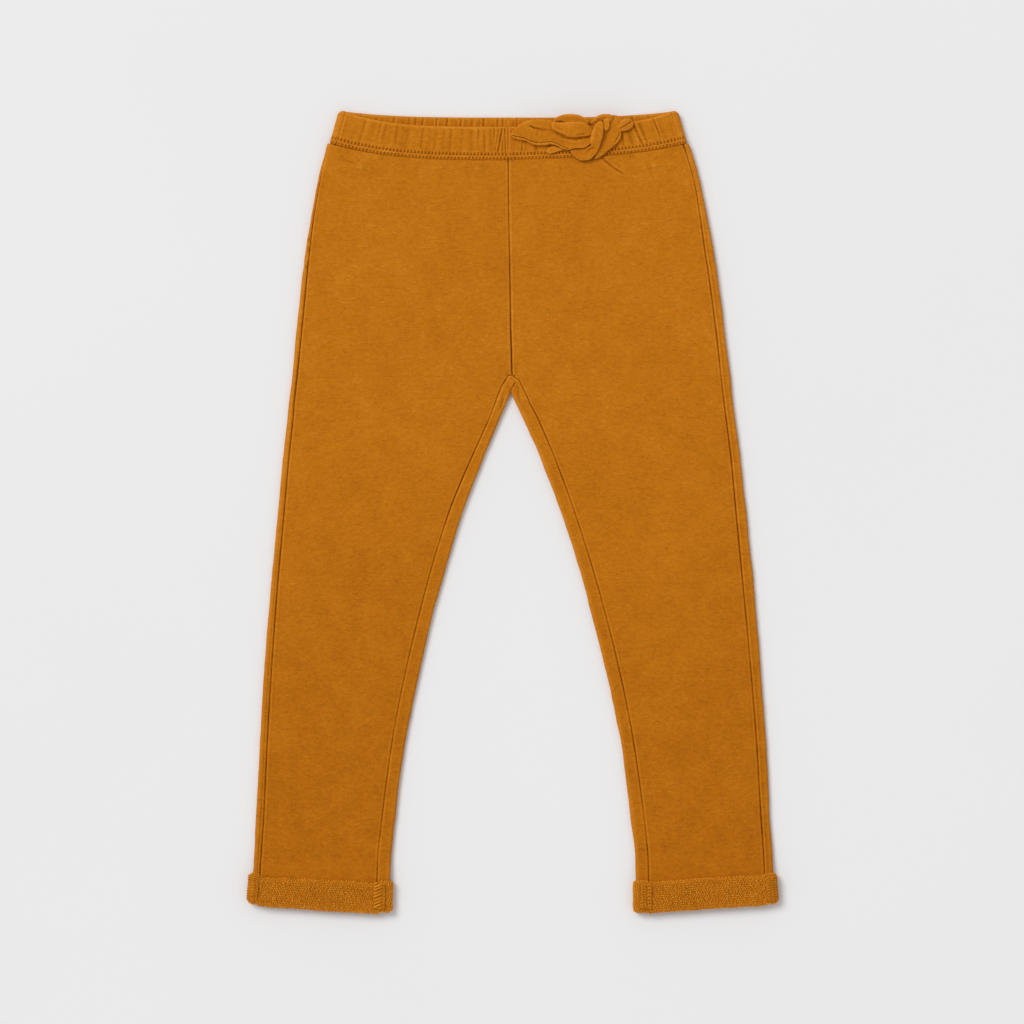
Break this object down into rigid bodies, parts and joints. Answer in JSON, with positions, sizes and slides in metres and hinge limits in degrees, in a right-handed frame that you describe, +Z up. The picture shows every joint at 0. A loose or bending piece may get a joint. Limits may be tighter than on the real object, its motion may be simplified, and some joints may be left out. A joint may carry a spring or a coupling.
{
  "type": "child's leggings laid flat",
  "caption": "Pull-on leggings in French terry laid flat, with a gathered elastic waistband, a knotted bow and turned-up cuffs.",
  "frame": {"origin": "on the surface that the garment lies on, under the middle of its bounding box", "axes": "+Z up from the surface, +Y from the hems to the waist along the garment's length, +X towards the wearer's left"},
  "size_m": [0.3467, 0.5213, 0.0132],
  "materials": {
    "terry_face": "garment-dyed French terry, smooth knit face, matte and slightly brushed",
    "terry_loops": "looped wrong side of the same French terry, matte and granular",
    "thread": "spun polyester sewing and overlock thread, satin"
  },
  "bodies": {
    "root": {"front_right": "terry_face", "back_right": "terry_face", "band_front_right": "terry_face", "band_back_right": "terry_face", "cuff_right": "terry_loops", "allowance_right_outer": "thread", "allowance_right_inner": "thread", "front_left": "terry_face", "back_left": "terry_face", "band_front_left": "terry_face", "band_back_left": "terry_face", "cuff_left": "terry_loops", "allowance_left_outer": "thread", "allowance_left_inner": "thread", "bow_tail_left": "terry_face", "bow_stub": "terry_face", "bow_loop_left": "terry_face", "bow_loop_back": "terry_face", "bow_loop_right": "terry_face", "bow_tail_right": "terry_face", "bow_knot": "terry_face"}
  },
  "joints": []
}
